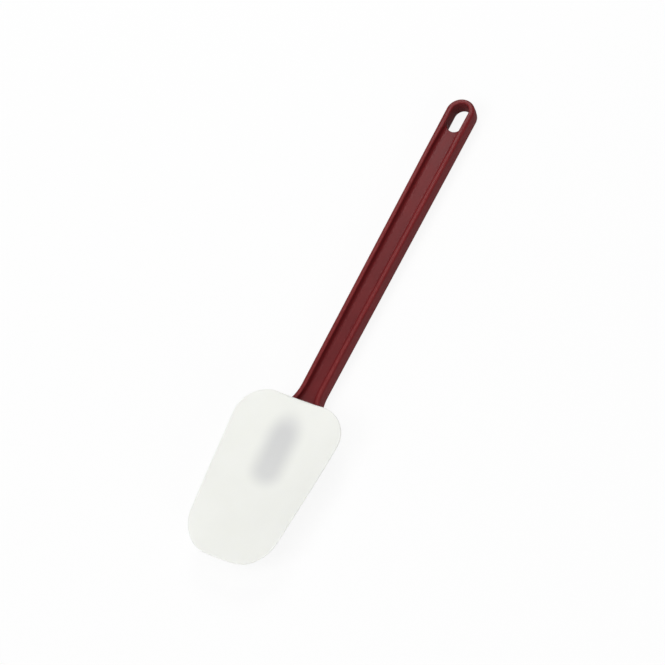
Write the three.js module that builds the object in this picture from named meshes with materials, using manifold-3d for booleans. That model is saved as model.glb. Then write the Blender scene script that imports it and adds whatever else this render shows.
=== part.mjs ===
// Spoon spatula: a moulded nylon handle whose tang carries a push-on silicone spoon head.
// It lies on its back: X runs across, +Y towards the hang end, +Z up out of the bowl. Millimetres.

import * as THREE from 'three';
import { mergeVertices } from 'three/addons/utils/BufferGeometryUtils.js';
import Module from 'manifold-3d';

// Handle bar, seen from the front
const HANDLE_LENGTH = 231.2; // shoulder to hang end
const NECK_WIDTH = 15.7; // where the bar leaves the flare
const HANG_WIDTH = 18.4; // across the round hang end
const SHOULDER_WIDTH = 19.8; // where the flare meets the head
const FLARE_LENGTH = 10;
const HANG_SLOT_LENGTH = 20.5;

// Handle bar, in section
const HANDLE_DEPTH = 10.8; // back rims to front rims
const RIM_WIDTH = 3.4; // flange beside the channel
const WEB_THICKNESS = 4.2; // floor between the two channels
const SHOULDER_WALL = 2.2; // solid end of the bar, behind the head
const EDGE_ROUND = 1; // outer edges of the rims
const RIM_LEAD = 0.4; // inner edges of the rims
const WALL_DRAFT = 0.25; // slope of the walls, parted at mid depth
const FLOOR_FILLET = 0.9; // where the channel's floor meets its walls
const CHANNEL_CORNER = 2; // channel's corners at the shoulder
const SHOULDER_CORNER = 0.4;

// Tang, and the head's grip on it
const TANG_LENGTH = 62;
const TANG_WIDTH = 16.6;
const TANG_THICKNESS = 6.4; // at the shoulder
const TANG_STEP = 0.4; // its front below the front rims
const TANG_SIDE_DRAFT = 0.4; // lost on each side along its length
const TANG_FRONT_DRAFT = 2.2; // lost on the front along its length
const TANG_BACK_DRAFT = 0.5; // lost on the back along its length
const TANG_TIP_ROUND = 6; // corners of its end, seen from the front
const TANG_EDGE_ROUND = 1.2;
const SOCKET_CLEARANCE = 0.3;
const SEAM_GAP = 0.3; // between the shoulder and the head

// Head, seen from the front
const HEAD_LENGTH = 111.5;
const TOP_WIDTH = 74.8; // between the lines of the sides, at the neck
const TIP_WIDTH = 56.4; // between the lines of the sides, at the tip
const TOP_CORNER = 19.4;
const TIP_CORNER = 20.6;
const SIDE_BOW = 0.7; // how far the sides bulge half-way along
const TIP_BOW = 2.4; // how far the tip's edge bulges
const TOP_BOW = 0.4; // how far the lip's edge falls back towards its corners

// Head, from the side: the bowl's centre line over the handle's front rims, from neck to tip.
// The two middle heights only pull the line towards them.
const LIP_HEIGHT = 8;
const UPPER_PULL = 0.6;
const LOWER_PULL = -1.2;
const TIP_HEIGHT = 5.2;

// Head, from the side: its edges over the centre line, from neck to tip
const LIP_RISE = 0.8;
const UPPER_RISE = 5.2;
const LOWER_RISE = 9;
const TIP_RISE = 0.5;
const BOWL_POWER = 2.2; // 2 is a parabola across the bowl

// Head, in section
const SHEET_THICKNESS = 2.6;
const EDGE_THICKNESS = 1.5;
const TIP_TAPER = 6; // power of the thinning along the head: it comes late, near the tip
const LIP_ROUND = 2.2;
const NECK_ROUND = 0.8; // edges of the head's end on the back
const HUB_FLAT = 14.6; // level strip along the hub's back
const HUB_FLANK = 13; // width of the slope from that strip to the sheet
const HUB_LEVEL = 14; // the hub starts to thin out this far before the tang's end
const HUB_TAIL = 43; // and is gone this far past it

// Fineness of the facets
const ARC_STEPS = 12;
const SECTION_STEPS = 3;
const CORNER_STEPS = 11;
const SIDE_STEPS = 14;
const ACROSS_STEPS = 30;
const RIM_STEPS = 3;

const wasm = await Module();
wasm.setup();

// A closed geometry as a solid that can be joined and cut
function solidFrom(geometry) {
  geometry.deleteAttribute('normal');
  geometry.deleteAttribute('uv');
  const merged = mergeVertices(geometry);
  const vertProperties = new Float32Array(merged.attributes.position.array);
  const triVerts = new Uint32Array(merged.index.array);
  return new wasm.Manifold(new wasm.Mesh({ numProp: 3, vertProperties, triVerts }));
}

// A finished solid as a named mesh of the scene
function meshFrom(name, solid, material) {
  const { vertProperties, triVerts } = solid.getMesh();
  const geometry = new THREE.BufferGeometry();
  geometry.setAttribute('position', new THREE.BufferAttribute(vertProperties, 3));
  geometry.setIndex(new THREE.BufferAttribute(triVerts, 1));
  geometry.computeVertexNormals();
  const mesh = new THREE.Mesh(geometry, material);
  mesh.name = name;
  return mesh;
}

// A skin over rings of points, capped at both ends. Each ring turns anticlockwise as seen from
// the last one, and flat gives the two coordinates in which the caps are filled.
function loft(rings, flat) {
  const count = rings[0].length;
  const faces = [];
  for (let start = 0; start < (rings.length - 1) * count; start += count) {
    for (let i = 0; i < count; i += 1) {
      const here = start + i;
      const next = start + ((i + 1) % count);
      faces.push(here, next, next + count, here, next + count, here + count);
    }
  }
  const fill = (ring) => THREE.ShapeUtils.triangulateShape(ring.map(flat), []);
  for (const [a, b, c] of fill(rings[0])) {
    faces.push(c, b, a);
  }
  const last = (rings.length - 1) * count;
  for (const [a, b, c] of fill(rings.at(-1))) {
    faces.push(last + a, last + b, last + c);
  }
  const geometry = new THREE.BufferGeometry().setFromPoints(rings.flat());
  geometry.setIndex(faces);
  return solidFrom(geometry);
}

// A solid with level layers: each layer is an outline made from an inset, at a height
function layered(outline, layers) {
  const rings = layers.map(([inset, z]) => outline(inset).map(({ x, y }) => new THREE.Vector3(x, y, z)));
  return loft(rings, ({ x, y }) => new THREE.Vector2(x, y));
}

// Layers of a quarter round that leaves the vertical: insets grow to size over a height of size
function quarterRound(size, inset, z, towards) {
  const layers = [];
  for (let i = 0; i <= SECTION_STEPS; i += 1) {
    const turn = (Math.PI / 2) * (i / SECTION_STEPS);
    layers.push([inset + size * (1 - Math.cos(turn)), z + towards * size * Math.sin(turn)]);
  }
  return layers;
}

const hangCentre = HANDLE_LENGTH - HANG_WIDTH / 2;

// Half-width of the bar: a parabola down the flare, then a straight taper to the hang end
function barHalf(y) {
  const flare = Math.max(0, 1 - y / FLARE_LENGTH);
  const along = Math.max(0, y - FLARE_LENGTH) / (hangCentre - FLARE_LENGTH);
  const bar = THREE.MathUtils.lerp(NECK_WIDTH, HANG_WIDTH, along);
  return (bar + (SHOULDER_WIDTH - NECK_WIDTH) * flare ** 2) / 2;
}

// Outline of the bar, drawn in by an inset, from a start line near the shoulder
function barOutline(inset, start, corner) {
  const side = (y) => barHalf(y) - inset;
  const rise = start + corner;
  const bend = (rise + FLARE_LENGTH) / 2;
  const path = new THREE.Path();
  path.moveTo(corner - side(start), start);
  path.lineTo(side(start) - corner, start);
  path.quadraticCurveTo(side(start), start, side(rise), rise);
  path.quadraticCurveTo(side(FLARE_LENGTH), bend, side(FLARE_LENGTH), FLARE_LENGTH);
  path.lineTo(side(hangCentre), hangCentre);
  path.absarc(0, hangCentre, side(hangCentre), 0, Math.PI);
  path.lineTo(-side(FLARE_LENGTH), FLARE_LENGTH);
  path.quadraticCurveTo(-side(FLARE_LENGTH), bend, -side(rise), rise);
  path.quadraticCurveTo(-side(start), start, corner - side(start), start);
  return path.getPoints(ARC_STEPS).slice(0, -1);
}

// Outline of the web: it fills the channel and ends at the slot in a hollow curve
function webOutline(inset) {
  const start = SHOULDER_WALL + inset - RIM_WIDTH;
  const bend = (start + FLARE_LENGTH) / 2;
  const slotEnd = hangCentre + barHalf(hangCentre) - RIM_WIDTH - HANG_SLOT_LENGTH;
  const hollow = barHalf(slotEnd) - RIM_WIDTH;
  const side = (y) => barHalf(y) - inset;
  const path = new THREE.Path();
  path.moveTo(-side(start), start);
  path.lineTo(side(start), start);
  path.quadraticCurveTo(side(FLARE_LENGTH), bend, side(FLARE_LENGTH), FLARE_LENGTH);
  path.lineTo(side(slotEnd + hollow), slotEnd + hollow);
  path.lineTo(hollow, slotEnd + hollow);
  path.absarc(0, slotEnd + hollow, hollow, 0, Math.PI, true);
  path.lineTo(-side(slotEnd + hollow), slotEnd + hollow);
  path.lineTo(-side(FLARE_LENGTH), FLARE_LENGTH);
  path.quadraticCurveTo(-side(FLARE_LENGTH), bend, -side(start), start);
  return path.getPoints(ARC_STEPS).slice(0, -1);
}

// Section of the tang at a distance past the shoulder, grown on every side for the socket
function tangSection(distance, grow) {
  const along = distance / TANG_LENGTH;
  const tipStart = TANG_LENGTH - TANG_TIP_ROUND;
  const intoTip = Math.min(1, Math.max(0, distance - tipStart) / TANG_TIP_ROUND);
  const rounded = TANG_TIP_ROUND * (1 - Math.sqrt(1 - intoTip ** 2));
  const half = TANG_WIDTH / 2 - TANG_SIDE_DRAFT * along - rounded + grow;
  const front = HANDLE_DEPTH - TANG_STEP - TANG_FRONT_DRAFT * along + grow;
  const back = HANDLE_DEPTH - TANG_STEP - TANG_THICKNESS + TANG_BACK_DRAFT * along - grow;
  const round = TANG_EDGE_ROUND + grow;
  const corners = [[half - round, back + round], [half - round, front - round],
    [round - half, front - round], [round - half, back + round]];
  const ring = [];
  corners.forEach(([x, z], corner) => {
    for (let i = 0; i <= SECTION_STEPS; i += 1) {
      const turn = (Math.PI / 2) * (corner - 1 + i / SECTION_STEPS);
      ring.push(new THREE.Vector3(x + round * Math.cos(turn), -distance, z + round * Math.sin(turn)));
    }
  });
  return ring;
}

// The tang, or with a clearance the socket that it fills; both begin inside the shoulder's wall
function tang(grow) {
  const tipStart = TANG_LENGTH - TANG_TIP_ROUND;
  const rings = [tangSection(-SHOULDER_WALL / 2, grow), tangSection(tipStart, grow)];
  for (let i = 1; i <= CORNER_STEPS; i += 1) {
    const turn = (Math.PI / 2) * (i / CORNER_STEPS);
    rings.push(tangSection(tipStart + TANG_TIP_ROUND * Math.sin(turn), grow));
  }
  const end = rings.at(-1).map((point) => point.clone().setY(point.y - grow));
  rings.push(end);
  return loft(rings, ({ x, z }) => new THREE.Vector2(x, z));
}

function handleSolid() {
  const shell = (inset) => barOutline(inset, 0, SHOULDER_CORNER);
  const mid = HANDLE_DEPTH / 2;
  const edges = quarterRound(EDGE_ROUND, WALL_DRAFT, HANDLE_DEPTH - EDGE_ROUND, 1);
  const lower = edges.map(([inset, z]) => [inset, HANDLE_DEPTH - z]).reverse();
  const bar = layered(shell, [...lower, [0, mid], ...edges]);

  const channel = (inset) => barOutline(inset, SHOULDER_WALL + inset - RIM_WIDTH, CHANNEL_CORNER);
  const faceInset = RIM_WIDTH - WALL_DRAFT;
  const through = layered(channel, [
    [faceInset - 2 * RIM_LEAD, -RIM_LEAD],
    [faceInset, RIM_LEAD],
    [RIM_WIDTH, mid],
    [faceInset, HANDLE_DEPTH - RIM_LEAD],
    [faceInset - 2 * RIM_LEAD, HANDLE_DEPTH + RIM_LEAD],
  ]);

  const buried = RIM_WIDTH / 2;
  const floor = mid + WEB_THICKNESS / 2;
  const plate = layered(webOutline, [
    [buried, HANDLE_DEPTH - floor - FLOOR_FILLET],
    [buried, floor + FLOOR_FILLET],
  ]);
  const hollowing = quarterRound(FLOOR_FILLET, RIM_WIDTH, floor + FLOOR_FILLET, -1).reverse();
  const frontHollow = layered(channel, [...hollowing, [RIM_WIDTH, HANDLE_DEPTH]]);
  const backHollow = layered(channel, [
    [RIM_WIDTH, 0],
    ...hollowing.map(([inset, z]) => [inset, HANDLE_DEPTH - z]).reverse(),
  ]);
  const web = plate.subtract(frontHollow).subtract(backHollow);
  return bar.subtract(through).add(web).add(tang(0));
}

const outlineLength = HEAD_LENGTH - TIP_BOW;
const sideLean = Math.atan((TOP_WIDTH - TIP_WIDTH) / 2 / outlineLength);

// Half-width between the lines of the sides, at a distance from the neck
function sideHalf(distance) {
  return TOP_WIDTH / 2 - Math.tan(sideLean) * distance;
}

// The head's outline as rows from neck to tip: round corners joined by gently bowed sides
function headRows() {
  const rows = [];
  const flankTurn = Math.PI / 2 + sideLean;
  const topCentre = sideHalf(TOP_CORNER) - TOP_CORNER / Math.cos(sideLean);
  for (let i = 0; i <= CORNER_STEPS; i += 1) {
    const turn = flankTurn * (i / CORNER_STEPS);
    const distance = TOP_CORNER * (1 - Math.cos(turn));
    rows.push({ distance, half: topCentre + TOP_CORNER * Math.sin(turn) });
  }
  const tipLine = outlineLength - TIP_CORNER;
  const sideStart = rows.at(-1).distance;
  const sideEnd = tipLine - TIP_CORNER * Math.cos(flankTurn);
  for (let i = 1; i < SIDE_STEPS; i += 1) {
    const distance = THREE.MathUtils.lerp(sideStart, sideEnd, i / SIDE_STEPS);
    rows.push({ distance, half: sideHalf(distance) });
  }
  const tipCentre = sideHalf(tipLine) - TIP_CORNER / Math.cos(sideLean);
  for (let i = 0; i <= CORNER_STEPS; i += 1) {
    const turn = THREE.MathUtils.lerp(flankTurn, Math.PI, i / CORNER_STEPS);
    const distance = tipLine - TIP_CORNER * Math.cos(turn);
    rows.push({ distance, half: tipCentre + TIP_CORNER * Math.sin(turn) });
  }
  return rows.map(({ distance, half }) => {
    const along = distance / outlineLength;
    return { distance, half: half + SIDE_BOW * 4 * along * (1 - along) };
  });
}

// A smooth line of heights along the head, pulled by four values from neck to tip
function heightLine(...heights) {
  const pulls = heights.map((height, i) => new THREE.Vector2((outlineLength * i) / 3, height));
  const curve = new THREE.CubicBezierCurve(...pulls);
  return (distance) => curve.getPoint(distance / outlineLength).y;
}

const bowlLine = heightLine(LIP_HEIGHT, UPPER_PULL, LOWER_PULL, TIP_HEIGHT);
const bowlRise = heightLine(LIP_RISE, UPPER_RISE, LOWER_RISE, TIP_RISE);

// How far a rounded edge lies below its crest, at a distance from the end face
function edgeDrop(round, distance) {
  const into = Math.max(0, round - distance);
  return round - Math.sqrt(round ** 2 - into ** 2);
}

// Front and back heights of the head at one point; the back swells to the hub around the tang
function headHeights(x, { distance, half }) {
  const across = Math.abs(x) / half;
  const curl = (Math.abs(x) / sideHalf(distance)) ** BOWL_POWER;
  const bowl = HANDLE_DEPTH + bowlLine(distance) + bowlRise(distance) * curl;
  const thinning = (1 - across ** 2) * (1 - (distance / outlineLength) ** TIP_TAPER);
  const sheetBack = bowl - THREE.MathUtils.lerp(EDGE_THICKNESS, SHEET_THICKNESS, thinning);
  const beside = 1 - THREE.MathUtils.smoothstep(Math.abs(x), HUB_FLAT / 2, HUB_FLAT / 2 + HUB_FLANK);
  const along = 1 - THREE.MathUtils.smoothstep(distance, TANG_LENGTH - HUB_LEVEL, TANG_LENGTH + HUB_TAIL);
  const hub = beside * along;
  const lipRound = THREE.MathUtils.lerp(EDGE_THICKNESS / 2, LIP_ROUND, hub);
  const front = bowl - edgeDrop(lipRound, distance);
  const back = sheetBack * (1 - hub) + edgeDrop(NECK_ROUND, distance);
  return { front, back };
}

// One section of the head: along the back, round the right edge, along the front, round the left edge
function headSection(row) {
  const inner = row.half - EDGE_THICKNESS / 2;
  const towardsTip = THREE.MathUtils.smoothstep(row.distance, outlineLength / 2, outlineLength);
  const towardsNeck = 1 - THREE.MathUtils.smoothstep(row.distance, 0, outlineLength / 2);
  const bowed = (x) => TIP_BOW * towardsTip * (1 - ((2 * x) / TIP_WIDTH) ** 2)
    + TOP_BOW * towardsNeck * ((2 * x) / TOP_WIDTH) ** 2;
  const at = (x, z) => new THREE.Vector3(x, -row.distance - bowed(x), z);
  const backs = [];
  const fronts = [];
  for (let i = 0; i <= ACROSS_STEPS; i += 1) {
    const x = inner * ((2 * i) / ACROSS_STEPS - 1);
    const { front, back } = headHeights(x, row);
    backs.push(at(x, back));
    fronts.unshift(at(x, front));
  }
  const rim = [];
  const { front, back } = headHeights(inner, row);
  for (let i = 1; i < RIM_STEPS + 1; i += 1) {
    const turn = Math.PI * (i / (RIM_STEPS + 1) - 0.5);
    const z = (front + back) / 2 + ((front - back) / 2) * Math.sin(turn);
    rim.push(at(inner + (EDGE_THICKNESS / 2) * Math.cos(turn), z));
  }
  const leftRim = rim.map(({ x, y, z }) => new THREE.Vector3(-x, y, z)).reverse();
  return [...backs, ...rim, ...fronts, ...leftRim];
}

function headSolid() {
  const spoon = loft(headRows().map(headSection), ({ x, z }) => new THREE.Vector2(x, z));
  const seated = spoon.translate([0, -SEAM_GAP, 0]);
  return seated.subtract(tang(SOCKET_CLEARANCE));
}

const nylon = new THREE.MeshStandardMaterial({ color: '#6e2a2c', roughness: 0.45, metalness: 0 });
const silicone = new THREE.MeshStandardMaterial({ color: '#f0f1ed', roughness: 0.55, metalness: 0 });

const spatula = new THREE.Group();
spatula.add(meshFrom('handle', handleSolid(), nylon));
spatula.add(meshFrom('spoon_head', headSolid(), silicone));
spatula.position.y = (HEAD_LENGTH + SEAM_GAP - HANDLE_LENGTH) / 2;

export default spatula;
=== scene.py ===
import math

import bmesh
import bpy
from mathutils import Matrix, Vector


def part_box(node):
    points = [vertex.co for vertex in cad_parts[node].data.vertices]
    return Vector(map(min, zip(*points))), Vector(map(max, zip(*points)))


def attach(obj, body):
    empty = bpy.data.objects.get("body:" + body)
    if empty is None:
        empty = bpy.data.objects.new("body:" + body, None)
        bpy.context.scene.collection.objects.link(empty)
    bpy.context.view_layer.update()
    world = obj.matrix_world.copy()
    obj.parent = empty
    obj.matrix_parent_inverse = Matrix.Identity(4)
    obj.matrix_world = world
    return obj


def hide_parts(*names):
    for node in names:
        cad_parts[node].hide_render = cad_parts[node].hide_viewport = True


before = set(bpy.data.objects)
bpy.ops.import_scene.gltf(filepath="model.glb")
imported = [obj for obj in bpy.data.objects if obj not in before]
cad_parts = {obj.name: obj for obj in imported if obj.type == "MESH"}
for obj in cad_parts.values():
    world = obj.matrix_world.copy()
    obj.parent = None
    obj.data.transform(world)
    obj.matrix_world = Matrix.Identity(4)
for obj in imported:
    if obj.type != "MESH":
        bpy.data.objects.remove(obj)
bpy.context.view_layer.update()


# Handle: one dark red nylon moulding. Its bar is an I in section, with a channel down each face and
# a rim round it, a hang slot through the round end, and a shoulder that flares out to meet the head.
# A plain flat tang runs on from the shoulder. Both mould halves part at mid depth, so the walls lean.

# sizes in millimetres, with places along the bar taken from the shoulder; the ring's pinch is a share
HANDLE_LENGTH = 231.2
NECK_WIDTH = 16.3
HANG_WIDTH = 19.3
SHOULDER_WIDTH = 21.4
FLARE_LENGTH = 13.0
HANG_SLOT_LENGTH = 19.7
HANDLE_DEPTH = 10.8
RIM_WIDTH = 3.7
WEB_THICKNESS = 4.2
SHOULDER_WALL = 2.2
EDGE_ROUND = 1.6
RIM_LEAD = 0.8
WALL_DRAFT = 0.25
FLOOR_FILLET = 2.0
CHANNEL_CORNER = 2.0
WEB_END_ROUND = 0.8
SHOULDER_CORNER = 0.35
BEDDED = 0.4
RING_PINCH = 0.10
RING_RAMP = 12.0
TANG_LENGTH = 62.0
TANG_WIDTH = 16.6
TANG_THICKNESS = 6.4
TANG_STEP = 0.4
TANG_INSET = 0.6
TANG_SIDE_DRAFT = 0.4
TANG_FRONT_DRAFT = 2.2
TANG_BACK_DRAFT = 0.5
TANG_TIP_ROUND = 6.0
METRES = 0.001

# how finely its mesh is divided, the angle from which an edge is crisp, and how near counts as touching
FLARE_STEPS = 8
BAR_STEPS = 16
HANG_STEPS = 56
EDGE_STEPS = 8
LEAD_STEPS = 6
CORNER_STEPS = 3
FILLET_STEPS = 8
FLOOR_COLUMNS = 5
FLOOR_ROWS = 60
TANG_STEPS = 6
TANG_TIP_STEPS = 10
SHARP_ANGLE = 40
MERGE_DISTANCE = 1e-4
CUT_DISTANCE = 1e-5
LINE_DISTANCE = 1e-6

hang_centre = HANDLE_LENGTH - HANG_WIDTH / 2
slot_end = HANDLE_LENGTH - RIM_WIDTH - HANG_SLOT_LENGTH
shoulder_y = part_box("handle")[1].y - HANDLE_LENGTH * METRES
half_depth = HANDLE_DEPTH / 2
floor_height = WEB_THICKNESS / 2
wall_lean = WALL_DRAFT / half_depth


def bar_half(y):
    """Half-width of the bar: a parabola down the flare, then a straight taper to the round end."""
    flare = max(0.0, 1 - y / FLARE_LENGTH)
    along = max(0.0, y - FLARE_LENGTH) / (hang_centre - FLARE_LENGTH)
    width = NECK_WIDTH + (HANG_WIDTH - NECK_WIDTH) * along
    return (width + (SHOULDER_WIDTH - NECK_WIDTH) * flare**2) / 2


def spread(first, last, count):
    """Evenly spaced values from first up to, but not with, last."""
    return [first + (last - first) * i / count for i in range(count)]


def quarter_sines(count):
    """Sines from 0 to 1 of even steps round a quarter circle, for a rounded edge."""
    return [math.sin(turn) for turn in spread(0, math.pi / 2, count)] + [1.0]


def smooth(value, low, high):
    """Runs smoothly from 0 at low to 1 at high."""
    along = min(1.0, max(0.0, (value - low) / (high - low)))
    return along * along * (3 - 2 * along)


def only(kind, items):
    """Those of an operator's results that are of one kind."""
    return [item for item in items if isinstance(item, kind)]


def whole(mesh):
    """All that a mesh holds, for an operator that works on the lot."""
    return mesh.verts[:] + mesh.edges[:] + mesh.faces[:]


def draw_to(mesh, vert, place):
    """Draws an edge from a vertex to a new one at a place."""
    drawn = bmesh.ops.extrude_vert_indiv(mesh, verts=[vert])["verts"][0]
    drawn.co = place
    return drawn


def step_in(mesh, face, inset, rise):
    """Draws a face in and lifts it, which leaves a band of new faces round it."""
    bmesh.ops.inset_region(
        mesh, faces=[face], thickness=inset, depth=rise, use_even_offset=True, use_boundary=True)
    return face.edges[:]


def round_over(mesh, edges, radius, segments):
    """Rounds edges, or fills them where they lie in a corner."""
    bmesh.ops.bevel(
        mesh, geom=edges, offset=radius, offset_type="OFFSET", segments=segments, profile=0.5,
        affect="EDGES", material=-1, loop_slide=True)


def piece_from(mesh, name):
    """Finishes a mesh made in millimetres as an object at the origin, with its place in its mesh."""
    bmesh.ops.recalc_face_normals(mesh, faces=mesh.faces[:])
    bmesh.ops.scale(mesh, vec=Vector((METRES,) * 3), verts=mesh.verts[:])
    data = bpy.data.meshes.new(name)
    mesh.to_mesh(data)
    mesh.free()
    data.shade_smooth()
    data.set_sharp_from_angle(angle=math.radians(SHARP_ANGLE))
    piece = bpy.data.objects.new(name, data)
    bpy.context.scene.collection.objects.link(piece)
    return piece


def even_shading(piece):
    """Lets large faces settle how a rounded edge beside them is shaded."""
    evened = piece.modifiers.new("even shading", "WEIGHTED_NORMAL")
    evened.keep_sharp = True


# the rail, which is the rim at its full depth: its outline first, from behind the shoulder,
# with no station so near the shoulder's corner that the walls drawn in from it would fold
bar = bmesh.new()
rail_start = SHOULDER_WALL - RIM_WIDTH
stations = [rail_start]
stations += spread(SHOULDER_WALL + CHANNEL_CORNER, FLARE_LENGTH, FLARE_STEPS)
stations += spread(FLARE_LENGTH, hang_centre, BAR_STEPS)
stations += [hang_centre]
first = bar.verts.new((bar_half(rail_start), rail_start, 0))
last = first
for y in stations[1:]:
    last = draw_to(bar, last, (bar_half(y), y, 0))
turned = bmesh.ops.spin(
    bar, geom=[last], cent=(0, hang_centre, 0), axis=(0, 0, 1), angle=math.pi, steps=HANG_STEPS)
last = only(bmesh.types.BMVert, turned["geom_last"])[0]
for y in reversed(stations[:-1]):
    last = draw_to(bar, last, (-bar_half(y), y, 0))
bmesh.ops.contextual_create(bar, geom=[first, last])
middle = bmesh.ops.contextual_create(bar, geom=bar.edges[:])["faces"][0]
if middle.normal.z < 0:
    middle.normal_flip()

# its outer wall, top and inner wall above mid depth, each drawn in from the last, then rounded
rim_outside = step_in(bar, middle, WALL_DRAFT, half_depth)
rim_inside = step_in(bar, middle, RIM_WIDTH - 2 * WALL_DRAFT, 0)
step_in(bar, middle, WALL_DRAFT, -half_depth)
bmesh.ops.delete(bar, geom=[middle], context="FACES_ONLY")
round_over(bar, rim_outside, EDGE_ROUND, EDGE_STEPS)
round_over(bar, rim_inside, RIM_LEAD, LEAD_STEPS)

# the same below mid depth, then a clean cut at the shoulder, whose small round is held to the depth
bmesh.ops.mirror(bar, geom=whole(bar), matrix=Matrix(), axis="Z", merge_dist=MERGE_DISTANCE)
bmesh.ops.remove_doubles(bar, verts=bar.verts[:], dist=MERGE_DISTANCE)
cut = bmesh.ops.bisect_plane(
    bar, geom=whole(bar), plane_co=(0, 0, 0), plane_no=(0, 1, 0), dist=CUT_DISTANCE, clear_inner=True)
cut_edges = only(bmesh.types.BMEdge, cut["geom_cut"])
shoulder = bmesh.ops.contextual_create(bar, geom=cut_edges)["faces"][0]
bmesh.ops.recalc_face_normals(bar, faces=bar.faces[:])
round_over(bar, shoulder.edges[:], SHOULDER_CORNER, CORNER_STEPS)
for vert in bar.verts:
    vert.co.z = min(half_depth, max(-half_depth, vert.co.z))
shoulder = min(bar.faces, key=lambda face: face.calc_center_median().y)


def edge_drop(radius, distance):
    """How far a rounded edge lies below its crest, at a distance from its end."""
    into = min(radius, max(0.0, radius - distance))
    return radius - math.sqrt(radius**2 - into**2)


def floor_half(y):
    """Half-width of the channel at its floor."""
    return bar_half(y) - RIM_WIDTH + wall_lean * floor_height


def web_height(x, y, to_slot):
    """Height of the web's face over mid depth: flat, filled in at the rims, rounded off at the slot."""
    beside = floor_half(y) - abs(x)
    beyond = y - SHOULDER_WALL
    gap = min(beside, beyond)
    if max(beside, beyond) < CHANNEL_CORNER:
        gap = CHANNEL_CORNER - math.hypot(CHANNEL_CORNER - beside, CHANNEL_CORNER - beyond)
    return floor_height + edge_drop(FLOOR_FILLET, gap) - edge_drop(WEB_END_ROUND, to_slot)


# the web: a plate between the rims, bedded in them, with a hollow round end at the slot
floor_start = SHOULDER_WALL + FLOOR_FILLET
hollow = floor_half(slot_end + NECK_WIDTH / 2)
web_corner = slot_end + hollow
fillet = quarter_sines(FILLET_STEPS)
web_columns = [("flat", share) for share in spread(0, 1, FLOOR_COLUMNS)]
web_columns += [("fillet", share) for share in fillet]
web_columns += [("bed", 0)]
web_rows = [("bed", 0)]
web_rows += [("fillet", share) for share in reversed(fillet)]
web_rows += [("flat", share) for share in spread(0, 1, FLOOR_ROWS)[1:]]
web_rows += [("end", share) for share in fillet]


def web_half(zone, share):
    """Half-width of the channel's floor at a row of the web."""
    reached = {"flat": share, "end": 1}.get(zone, 0)
    return floor_half(floor_start + (web_corner - floor_start) * reached)


def web_across(zone, share, half):
    """Distance from the middle line to a column of the web: on its flat, in a fillet or bedded."""
    if zone == "flat":
        return share * (half - FLOOR_FILLET)
    if zone == "fillet":
        return half - FLOOR_FILLET * (1 - share)
    return half + BEDDED


def web_along(zone, share, slot_at):
    """Distance from the shoulder to a row of the web: bedded, in a fillet, flat, or on its round end."""
    round_start = slot_at - WEB_END_ROUND
    if zone == "bed":
        return SHOULDER_WALL - BEDDED
    if zone == "fillet":
        return floor_start - FLOOR_FILLET * share
    if zone == "flat":
        return floor_start + (round_start - floor_start) * share
    return round_start + WEB_END_ROUND * share


columns = 2 * (len(web_columns) - 1)
rows = len(web_rows) - 1
upper = bmesh.ops.create_grid(bar, x_segments=columns, y_segments=rows, size=1)["verts"]
sheet_verts = set(upper)
sheet = [face for face in bar.faces if face.verts[0] in sheet_verts]
lower = only(bmesh.types.BMVert, bmesh.ops.extrude_face_region(bar, geom=sheet)["geom"])
for verts, side in ((upper, 1), (lower, -1)):
    for vert in verts:
        column = round(vert.co.x * columns / 2)
        zone, share = web_rows[round((vert.co.y + 1) / 2 * rows)]
        x = web_across(*web_columns[abs(column)], web_half(zone, share))
        slot_at = web_corner - math.sqrt(max(0.0, hollow**2 - x**2))
        y = web_along(zone, share, slot_at)
        vert.co = (math.copysign(x, column), y, side * web_height(x, y, slot_at - y))

# the ring round the slot is thicker than the rims, so it pinches the slot's sides
for vert in bar.verts:
    middle_y = min(vert.co.y, hang_centre)
    inward = bar_half(middle_y) - math.hypot(vert.co.x, vert.co.y - middle_y)
    near_slot = smooth(vert.co.y, slot_end - RING_RAMP, slot_end)
    vert.co.x *= 1 - RING_PINCH * near_slot * smooth(inward, 0, RIM_WIDTH)
bmesh.ops.translate(bar, vec=(0, 0, half_depth), verts=bar.verts[:])


def tang_section(face, distance, fit=0.0):
    """Shapes a face to the tang's section at a distance past the shoulder, with room all round."""
    along = distance / TANG_LENGTH
    into = min(1.0, max(0.0, distance - TANG_LENGTH + TANG_TIP_ROUND) / TANG_TIP_ROUND)
    half = TANG_WIDTH / 2 - TANG_SIDE_DRAFT * along + fit
    half -= TANG_TIP_ROUND * (1 - math.sqrt(1 - into**2))
    front = HANDLE_DEPTH - TANG_STEP - TANG_FRONT_DRAFT * along + fit
    back = HANDLE_DEPTH - TANG_STEP - TANG_THICKNESS + TANG_BACK_DRAFT * along - fit
    widest = max(vert.co.x for vert in face.verts)
    low, high = (limit(vert.co.z for vert in face.verts) for limit in (min, max))
    for vert in face.verts:
        vert.co.x *= half / widest
        vert.co.z = back + (front - back) * (vert.co.z - low) / (high - low)
        vert.co.y = -distance


# the tang: the shoulder's face drawn in, then pushed out and shaped station by station
step_in(bar, shoulder, TANG_INSET, 0)
tang_section(shoulder, 0)
tang_stations = spread(0, TANG_LENGTH - TANG_TIP_ROUND, TANG_STEPS)[1:]
tang_stations += [TANG_LENGTH - TANG_TIP_ROUND * (1 - share) for share in quarter_sines(TANG_TIP_STEPS)]
for distance in tang_stations:
    step_in(bar, shoulder, 0, 1)
    tang_section(shoulder, distance)
bmesh.ops.translate(bar, vec=(0, shoulder_y / METRES, 0), verts=bar.verts[:])
handle = piece_from(bar, "handle_moulding")
even_shading(handle)

# the line where the mould halves part, kept crisp
for edge in handle.data.edges:
    heights = [handle.data.vertices[i].co.z for i in edge.vertices]
    if all(abs(z - half_depth * METRES) < LINE_DISTANCE for z in heights):
        edge.use_edge_sharp = True

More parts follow.
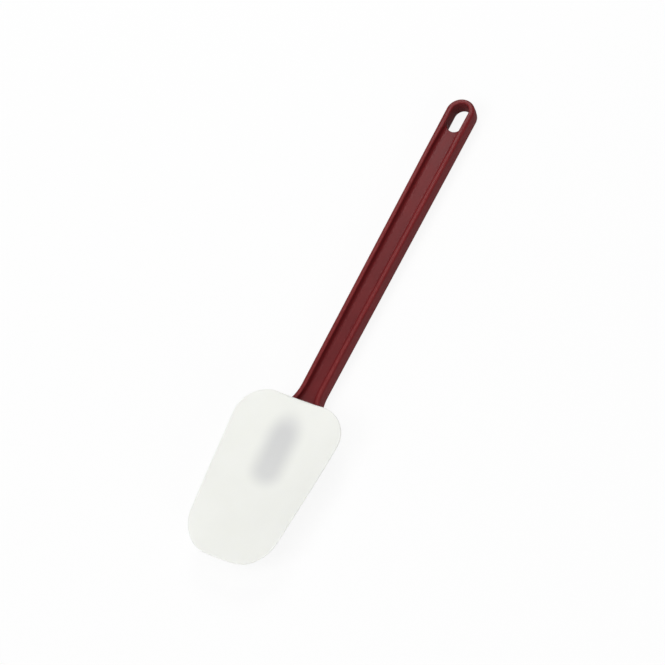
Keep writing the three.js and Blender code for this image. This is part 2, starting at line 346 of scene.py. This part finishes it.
# how steep each point of it is, from 0 on the faces to 1 on the walls
steepness = handle.data.attributes.new("steepness", "FLOAT", "POINT")
for vert, value in zip(handle.data.vertices, steepness.data):
    value.value = 1 - abs(vert.normal.z)


class Wire:
    """A value in a material. Sums and products of wires add Math nodes to that material."""

    def __init__(self, tree, socket):
        self.tree = tree
        self.socket = socket

    def node(self, kind, inputs=(), output=0, **settings):
        """Adds a node: its settings first, then a value or a wire for each socket that is named."""
        made = self.tree.nodes.new(kind)
        for name, value in settings.items():
            setattr(made, name, value)
        for name, value in dict(inputs).items():
            if isinstance(value, Wire):
                self.tree.links.new(value.socket, made.inputs[name])
            else:
                made.inputs[name].default_value = value
        return Wire(self.tree, made.outputs[output])

    def maths(self, operation, *terms):
        """A Math node on values and wires."""
        return self.node("ShaderNodeMath", enumerate(terms), operation=operation)

    def __add__(self, other):
        return self.maths("ADD", self, other)

    def __sub__(self, other):
        return self.maths("SUBTRACT", self, other)

    def __rsub__(self, other):
        return self.maths("SUBTRACT", other, self)

    def __mul__(self, other):
        return self.maths("MULTIPLY", self, other)

    __radd__ = __add__
    __rmul__ = __mul__

    def at_least(self, low):
        """This value, or low where it is under that."""
        return self.maths("MAXIMUM", self, low)

    def root(self):
        """The square root of this value."""
        return self.maths("SQRT", self)

    def part(self, axis):
        """One coordinate of this place, in metres: X across, Y along or Z up."""
        return self.node("ShaderNodeSeparateXYZ", {"Vector": self}, output=axis)

    def ramp(self, low, high):
        """Runs smoothly from 0 where this value is low to 1 where it is high."""
        return self.node(
            "ShaderNodeMapRange", {"Value": self, "From Min": low, "From Max": high},
            interpolation_type="SMOOTHSTEP")

    def noise(self, scale, detail=2.0, roughness=0.5):
        """Soft random patches over this place; the scale is patches to a metre."""
        return self.node(
            "ShaderNodeTexNoise",
            {"Vector": self, "Scale": scale, "Detail": detail, "Roughness": roughness})

    def stretched(self, x, y, z):
        """This place, drawn out so that a pattern on it runs in streaks."""
        return self.node("ShaderNodeMapping", {"Vector": self, "Scale": (x, y, z)})

    def between(self, first, second):
        """A colour from first to second as this value goes from 0 to 1."""
        return self.node(
            "ShaderNodeMix", {"Factor": self, "A": first, "B": second}, output=2, data_type="RGBA")

    def bump(self, strength, depth):
        """Bumps as high as this value, of a depth in millimetres."""
        return self.node(
            "ShaderNodeBump", {"Height": self, "Strength": strength, "Distance": depth * METRES})


def finish_for(piece, name):
    """A new material on a piece: its shader, and the place on the piece in metres."""
    material = bpy.data.materials.new(name)
    material.use_nodes = True
    piece.data.materials.append(material)
    tree = material.node_tree
    shader = tree.nodes["Principled BSDF"]
    coordinates = tree.nodes.new("ShaderNodeTexCoord")
    return shader, Wire(tree, coordinates.outputs["Object"])


def feed(shader, **values):
    """Links wires to the shader's sockets, and sets its plain values on them."""
    for name, value in values.items():
        socket = shader.inputs[name.replace("_", " ")]
        if isinstance(value, Wire):
            value.tree.links.new(value.socket, socket)
        else:
            socket.default_value = value


# satin nylon: a faint mottle and flow streaks in the colour, a fine moulded grain, and rims painted
# paler, partly for rubbed wear and partly as a painted highlight on their tops. Along the handle, between
# limits in metres, painted light makes its faces paler towards the hang end, and the rims' highlight and
# wear fade there.
NYLON_DEEP = (0.117, 0.0069, 0.0088, 1)
NYLON_PALE = (0.155, 0.0101, 0.0119, 1)
# paler red for the rims: partly rubbed wear, partly a painted highlight
NYLON_WORN_AND_LIT = (0.198, 0.0195, 0.020, 1)
NYLON_ROUGHNESS = 0.32
NYLON_IOR = 1.53
NYLON_SPECULAR = 0.21
WALL_STEEPNESS = (0.3, 0.8)
WALLS_ROUGHER = 0.30
MOTTLE_SCALE = 55
MOTTLE_SHARE = 0.6
MOTTLE_LIMITS = (0.3, 0.7)
MOTTLE_PALER = 0.7
MOTTLE_ROUGHER = 0.10
STREAK_SCALE = 420
STREAK_STRETCH = 0.06
GRAIN_SCALE = 2400
GRAIN_SHARE = 0.6
GRAIN_STRENGTH = 0.22
GRAIN_DEPTH = 0.04
SPECK_SCALE = 900
SPECKS_ROUGHER = 0.08
# how far the rims' paler band reaches and how strong it is: partly rubbed wear, partly a painted
# highlight
RIM_BAND_DEPTH = 0.6
RIM_HIGHLIGHT_AND_WEAR = 0.55
RUB_SCALE = 160
RUB_LIMITS = (0.46, 0.72)
RUB_WEAR = 0.45
RUB_ROUGHER = 0.06
# painted light: between these limits the faces are painted paler towards the hang end
PAINTED_LIGHT_LIMITS = (-0.05, 0.12)
PAINTED_LIGHT_END = 0.5
# where along the handle the rims' painted highlight and wear fade out
RIM_FADE_LIMITS = (0.11, 0.16)
RIM_FADE_END = 0.6

shader, place = finish_for(handle, "nylon, dark red")
along = place.part("Y")
height = place.part("Z")
handle_top = HANDLE_DEPTH * METRES
rim_band_depth = RIM_BAND_DEPTH * METRES
steep = place.node("ShaderNodeAttribute", output="Fac", attribute_name="steepness")
walls = steep.ramp(*WALL_STEEPNESS)
mottle = place.noise(MOTTLE_SCALE, detail=3)
streaks = place.stretched(1, STREAK_STRETCH, 1).noise(STREAK_SCALE)
grain = place.noise(GRAIN_SCALE)
specks = place.noise(SPECK_SCALE, roughness=0.6)
rims = height.ramp(handle_top - rim_band_depth, handle_top) + (1 - height.ramp(0.0, rim_band_depth))
rubbed = rims * place.noise(RUB_SCALE, detail=4, roughness=0.65).ramp(*RUB_LIMITS)
# painted light: the faces, not the walls, are painted paler towards the hang end
painted_light = along.ramp(*PAINTED_LIGHT_LIMITS) * (1 - walls) * PAINTED_LIGHT_END
patches = (mottle * MOTTLE_SHARE + streaks * (1 - MOTTLE_SHARE)).ramp(*MOTTLE_LIMITS)
red = (patches * MOTTLE_PALER + painted_light).between(NYLON_DEEP, NYLON_PALE)
# rims painted paler, partly for rubbed wear and partly as a painted highlight, fading towards the hang
# end
wear_and_highlight = (rims * RIM_HIGHLIGHT_AND_WEAR + rubbed * RUB_WEAR) * (1 - RIM_FADE_END * along.ramp(*RIM_FADE_LIMITS))
roughness = NYLON_ROUGHNESS + MOTTLE_ROUGHER * mottle + SPECKS_ROUGHER * specks
roughness += RUB_ROUGHER * rubbed + WALLS_ROUGHER * walls
feed(
    shader, Base_Color=wear_and_highlight.between(red, NYLON_WORN_AND_LIT), Roughness=roughness,
    Normal=(grain * GRAIN_SHARE + specks * (1 - GRAIN_SHARE)).bump(GRAIN_STRENGTH, GRAIN_DEPTH),
    IOR=NYLON_IOR, Specular_IOR_Level=NYLON_SPECULAR)
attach(handle, "handle")
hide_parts("handle")


# Spoon head: one white silicone moulding, slightly see-through, with a shallow bowl that thins out to
# round edges, a high lip across the neck, and a hub behind it that swells round the tang.
# Its blind socket is a little smaller than the tang in the real piece, so it grips and can be pulled off.

# sizes in millimetres, with distances taken from the neck; each set of heights runs from neck to tip
HEAD_LENGTH = 111.5
TOP_WIDTH = 74.8
TIP_WIDTH = 56.4
TOP_CORNER = 19.4
TIP_CORNER = 20.6
SIDE_BOW = 0.7
TIP_BOW = 2.4
TOP_BOW = 0.4
BOWL_HEIGHTS = (8.0, 0.6, -1.2, 5.2)
EDGE_HEIGHTS = (0.8, 5.2, 9.0, 0.5)
SHEET_THICKNESS = 2.6
EDGE_THICKNESS = 1.5
LIP_ROUND = 2.2
NECK_ROUND = 0.8
HUB_FLAT = 14.6
HUB_FLANK = 13.0
HUB_LEVEL = 14.0
HUB_TAIL = 43.0
SOCKET_CLEARANCE = 0.3
SEAM_GAP = 0.3
MOUTH_BORDER = 2.0
MOUTH_INSET = 0.2

# the powers of its curves, which faces make the socket's mouth, and how finely its mesh is divided
BOWL_POWER = 2.2
TIP_TAPER = 6
MOUTH_FACING = 0.99
MOUTH_LEAST_AREA = 2.6
CORNER_ROWS = 26
SIDE_ROWS = 40
ACROSS = 72
RIM_COLUMNS = 5

outline_length = HEAD_LENGTH - TIP_BOW
side_lean = math.atan((TOP_WIDTH - TIP_WIDTH) / 2 / outline_length)
edge_radius = EDGE_THICKNESS / 2


def side_half(distance):
    """Half-width between the lines of the sides, at a distance from the neck."""
    return TOP_WIDTH / 2 - math.tan(side_lean) * distance


def height_at(heights, distance):
    """A smooth line of heights along the head, pulled by four values from neck to tip."""
    u = distance / outline_length
    weights = ((1 - u)**3, 3 * u * (1 - u)**2, 3 * u**2 * (1 - u), u**3)
    return sum(weight * height for weight, height in zip(weights, heights))


def head_outline():
    """Distance and half-width from neck to tip: round corners joined by gently bowed sides."""
    straight = []
    flank = math.pi / 2 + side_lean
    centre = side_half(TOP_CORNER) - TOP_CORNER / math.cos(side_lean)
    for turn in spread(0, flank, CORNER_ROWS):
        straight.append((TOP_CORNER * (1 - math.cos(turn)), centre + TOP_CORNER * math.sin(turn)))
    tip_line = outline_length - TIP_CORNER
    side_start = TOP_CORNER * (1 - math.cos(flank))
    side_end = tip_line - TIP_CORNER * math.cos(flank)
    for distance in spread(side_start, side_end, SIDE_ROWS):
        straight.append((distance, side_half(distance)))
    centre = side_half(tip_line) - TIP_CORNER / math.cos(side_lean)
    for turn in spread(flank, math.pi, CORNER_ROWS) + [math.pi]:
        straight.append((tip_line - TIP_CORNER * math.cos(turn), centre + TIP_CORNER * math.sin(turn)))
    bowed = []
    for distance, half in straight:
        u = distance / outline_length
        bowed.append((distance, half + SIDE_BOW * 4 * u * (1 - u)))
    return bowed


def head_heights(x, distance, half):
    """Front and back of the head at one point; the back swells to the hub round the tang."""
    bowl = HANDLE_DEPTH + height_at(BOWL_HEIGHTS, distance)
    bowl += height_at(EDGE_HEIGHTS, distance) * (abs(x) / side_half(distance))**BOWL_POWER
    thick = (1 - (x / half)**2) * (1 - (distance / outline_length)**TIP_TAPER)
    skin = EDGE_THICKNESS + (SHEET_THICKNESS - EDGE_THICKNESS) * thick
    hub = 1 - smooth(abs(x), HUB_FLAT / 2, HUB_FLAT / 2 + HUB_FLANK)
    hub *= 1 - smooth(distance, TANG_LENGTH - HUB_LEVEL, TANG_LENGTH + HUB_TAIL)
    tip_drop = edge_drop(edge_radius, outline_length - distance)
    lip = edge_radius + (LIP_ROUND - edge_radius) * hub
    front = bowl - edge_drop(lip, distance) - tip_drop
    back = (bowl - skin) * (1 - hub) + edge_drop(NECK_ROUND, distance) + tip_drop
    return front, back


# a sheet of squares, doubled to a front and a back, then moved to the spoon's form row by row
outline = head_outline()
columns = ACROSS + 2 * RIM_COLUMNS
rows = len(outline) - 1
spoon = bmesh.new()
fronts = bmesh.ops.create_grid(spoon, x_segments=columns, y_segments=rows, size=1)["verts"]
backs = only(bmesh.types.BMVert, bmesh.ops.extrude_face_region(spoon, geom=spoon.faces[:])["geom"])
for verts, is_front in ((fronts, True), (backs, False)):
    for vert in verts:
        column = round((vert.co.x + 1) / 2 * columns)
        distance, half = outline[round((1 - vert.co.y) / 2 * rows)]
        inner = half - edge_radius
        side = 1 if column > columns / 2 else -1
        past = max(RIM_COLUMNS - column, column - RIM_COLUMNS - ACROSS, 0)
        if past:
            turn = math.pi / 2 * past / RIM_COLUMNS
            x = side * (inner + edge_radius * math.sin(turn))
            front, back = head_heights(side * inner, distance, half)
            swell = (front - back) / 2 * math.cos(turn)
            z = (front + back) / 2 + (swell if is_front else -swell)
        else:
            x = inner * (2 * (column - RIM_COLUMNS) / ACROSS - 1)
            z = head_heights(x, distance, half)[0 if is_front else 1]
        near_tip = smooth(distance, outline_length / 2, outline_length)
        near_neck = 1 - smooth(distance, 0, outline_length / 2)
        bow = TIP_BOW * near_tip * (1 - (2 * x / TIP_WIDTH)**2)
        bow += TOP_BOW * near_neck * (2 * x / TOP_WIDTH)**2
        vert.co = (x, -distance - bow - SEAM_GAP, z)
bmesh.ops.remove_doubles(spoon, verts=spoon.verts[:], dist=MERGE_DISTANCE)
bmesh.ops.recalc_face_normals(spoon, faces=spoon.faces[:])

# the socket: a panel of the neck's end face, made straight above and below, drawn in to the tang's
# outline and pushed down the hub
mouth = [
    face for face in spoon.faces
    if face.normal.y > MOUTH_FACING and face.calc_area() > MOUTH_LEAST_AREA
    and abs(face.calc_center_median().x) < TANG_WIDTH / 2 + MOUTH_BORDER]
bmesh.ops.inset_region(
    spoon, faces=mouth, thickness=MOUTH_INSET, use_even_offset=True, use_boundary=True)
mouth = bmesh.ops.dissolve_faces(spoon, faces=mouth)["region"][0]
level = mouth.calc_center_median().z
for vert in mouth.verts:
    vert.co.z = level + math.copysign(1, vert.co.z - level)
tang_section(mouth, SEAM_GAP, SOCKET_CLEARANCE)
for distance in tang_stations:
    step_in(spoon, mouth, 0, -1)
    tang_section(mouth, distance, SOCKET_CLEARANCE)
for vert in mouth.verts:
    vert.co.y -= SOCKET_CLEARANCE
bmesh.ops.translate(spoon, vec=(0, shoulder_y / METRES, 0), verts=spoon.verts[:])
head = piece_from(spoon, "silicone_spoon")
even_shading(head)

# white silicone, cloudy and finely frosted: light runs a little way into it. The dark tang's shade
# through it is painted into the colour as a soft grey patch, which is laid out in millimetres from the
# tang's middle line and its ends
SILICONE_DEEP = (0.850, 0.858, 0.816, 1)
SILICONE_PALE = (0.864, 0.872, 0.834, 1)
SILICONE_ROUGHNESS = 0.42
SILICONE_IOR = 1.41
SCATTER_SHARE = 0.25
SCATTER_REACH = (1.0, 1.0, 0.9)
SCATTER_DEPTH = 2.5
CLOUD_SCALE = 38
CLOUD_LIMITS = (0.3, 0.7)
CLOUD_ROUGHER = 0.10
FROST_SCALE = 1500
FROST_ROUGHER = 0.06
FROST_STRENGTH = 0.12
FROST_DEPTH = 0.03
# the grey painted into the silicone for the tang's shade under it
TANG_SHADE_GREY = (0.650, 0.655, 0.652, 1)
PATCH_CORE = 2.6
PATCH_REACH = 15.2
PATCH_FROM_NECK = 26.6
PATCH_NECK_STRETCH = 0.72
PATCH_FROM_TIP = 14.0
PATCH_DARKEST = 20.0
PATCH_TIP_SHADE = 0.82

shader, place = finish_for(head, "silicone, white")
across = place.part("X")
along = place.part("Y")
tang_end = shoulder_y - TANG_LENGTH * METRES
past_neck = (along - (shoulder_y - PATCH_FROM_NECK * METRES)).at_least(0.0) * PATCH_NECK_STRETCH
past_tip = ((tang_end + PATCH_FROM_TIP * METRES) - along).at_least(0.0)
past_ends = past_neck + past_tip
from_tang = (across * across + past_ends * past_ends).root()
near_tang = 1 - from_tang.ramp(PATCH_CORE * METRES, PATCH_REACH * METRES)
towards_neck = along.ramp(tang_end, shoulder_y - PATCH_DARKEST * METRES)
# painted shade of the tang under the silicone, lightest at the tang's far end
shadow = near_tang * (PATCH_TIP_SHADE + (1 - PATCH_TIP_SHADE) * towards_neck)
cloud = place.noise(CLOUD_SCALE, detail=3)
frost = place.noise(FROST_SCALE, detail=3)
white = cloud.ramp(*CLOUD_LIMITS).between(SILICONE_DEEP, SILICONE_PALE)
feed(
    shader, Base_Color=shadow.between(white, TANG_SHADE_GREY),
    Roughness=SILICONE_ROUGHNESS + CLOUD_ROUGHER * cloud + FROST_ROUGHER * frost,
    Normal=frost.bump(FROST_STRENGTH, FROST_DEPTH),
    Subsurface_Weight=SCATTER_SHARE, Subsurface_Radius=SCATTER_REACH,
    Subsurface_Scale=SCATTER_DEPTH * METRES, IOR=SILICONE_IOR)
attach(head, "head")
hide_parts("spoon_head")


# Studio: a sheet of white paper under four soft boxes in a white room, as for a catalogue picture.
# The paper looks white to the camera and in reflections, and still takes the spatula's soft shadow.
# Its sizes and places are in metres.
FLOOR_SIZE = 6.0
PAPER = (0.90, 0.90, 0.90, 1)
PAPER_ROUGHNESS = 0.9
WHITE = (1, 1, 1, 1)
WHITE_TO_CAMERA = 0.88
WHITE_IN_GLOSS = 0.5
ROOM_STRENGTH = 0.24

sweep = bmesh.new()
bmesh.ops.create_grid(sweep, x_segments=1, y_segments=1, size=FLOOR_SIZE / METRES / 2)
floor_sheet = piece_from(sweep, "floor")
shader, place = finish_for(floor_sheet, "paper, white")
feed(shader, Base_Color=PAPER, Roughness=PAPER_ROUGHNESS)
camera_ray, glossy_ray, clear_ray = (
    place.node("ShaderNodeLightPath", output=name)
    for name in ("Is Camera Ray", "Is Glossy Ray", "Is Transmission Ray"))
whitened = camera_ray * WHITE_TO_CAMERA + (glossy_ray + clear_ray) * WHITE_IN_GLOSS
glow = place.node("ShaderNodeEmission", {"Color": WHITE, "Strength": 1.0})
paper = Wire(place.tree, shader.outputs["BSDF"])
shown = place.node("ShaderNodeMixShader", {0: whitened, 1: paper, 2: glow})
place.tree.links.new(shown.socket, place.tree.nodes["Material Output"].inputs["Surface"])

room = bpy.data.worlds.new("studio")
bpy.context.scene.world = room
room.use_nodes = True
backdrop = room.node_tree.nodes["Background"]
backdrop.inputs["Color"].default_value = WHITE
backdrop.inputs["Strength"].default_value = ROOM_STRENGTH


def soft_box(name, at, size, power):
    """A square soft light aimed at the middle of the spatula."""
    lamp = bpy.data.lights.new(name, "AREA")
    lamp.size = size
    lamp.energy = power
    stand = bpy.data.objects.new(name, lamp)
    stand.location = at
    stand.rotation_euler = (-Vector(at)).to_track_quat("-Z", "Y").to_euler()
    bpy.context.scene.collection.objects.link(stand)


soft_box("overhead", at=(0.2, -0.2, 1.85), size=1.2, power=8.3)
soft_box("key", at=(-0.75, -1.15, 1.6), size=1.2, power=17.5)
soft_box("rim light", at=(-0.36, 0.77, 0.77), size=0.44, power=4.4)
soft_box("fill", at=(1.15, -0.7, 0.4), size=0.7, power=5.4)


# Camera: a long lens high over the tip's right side, rolled so that the handle leans to the right.
# It is aimed so that the spatula's middle falls on its place in the picture.
CAMERA_AZIMUTH = 49.0
CAMERA_ELEVATION = 58.27
CAMERA_ROLL = 25.4
CAMERA_DISTANCE = 1.9
SENSOR_WIDTH = 36
PICTURE = 665
PIXELS_PER_MM = 1.622
MIDDLE_AT = (350.67, 331.26)

azimuth = math.radians(CAMERA_AZIMUTH)
elevation = math.radians(CAMERA_ELEVATION)
roll = math.radians(CAMERA_ROLL)
level_reach = math.cos(elevation)
back = Vector((math.sin(azimuth) * level_reach, -math.cos(azimuth) * level_reach, math.sin(elevation)))
right = Vector((math.cos(azimuth), math.sin(azimuth), 0))
up = back.cross(right)
turned_right = right * math.cos(roll) - up * math.sin(roll)
turned_up = right * math.sin(roll) + up * math.cos(roll)
aim = turned_right * (PICTURE / 2 - MIDDLE_AT[0]) + turned_up * (MIDDLE_AT[1] - PICTURE / 2)
lens = bpy.data.cameras.new("camera")
lens.sensor_width = SENSOR_WIDTH
lens.lens = SENSOR_WIDTH * CAMERA_DISTANCE / (PICTURE / PIXELS_PER_MM * METRES)
camera = bpy.data.objects.new("camera", lens)
camera.location = back * CAMERA_DISTANCE + aim / PIXELS_PER_MM * METRES
camera.rotation_euler = Matrix((turned_right, turned_up, back)).transposed().to_euler()
bpy.context.scene.collection.objects.link(camera)
bpy.context.scene.camera = camera
bpy.context.scene.view_settings.view_transform = "Standard"
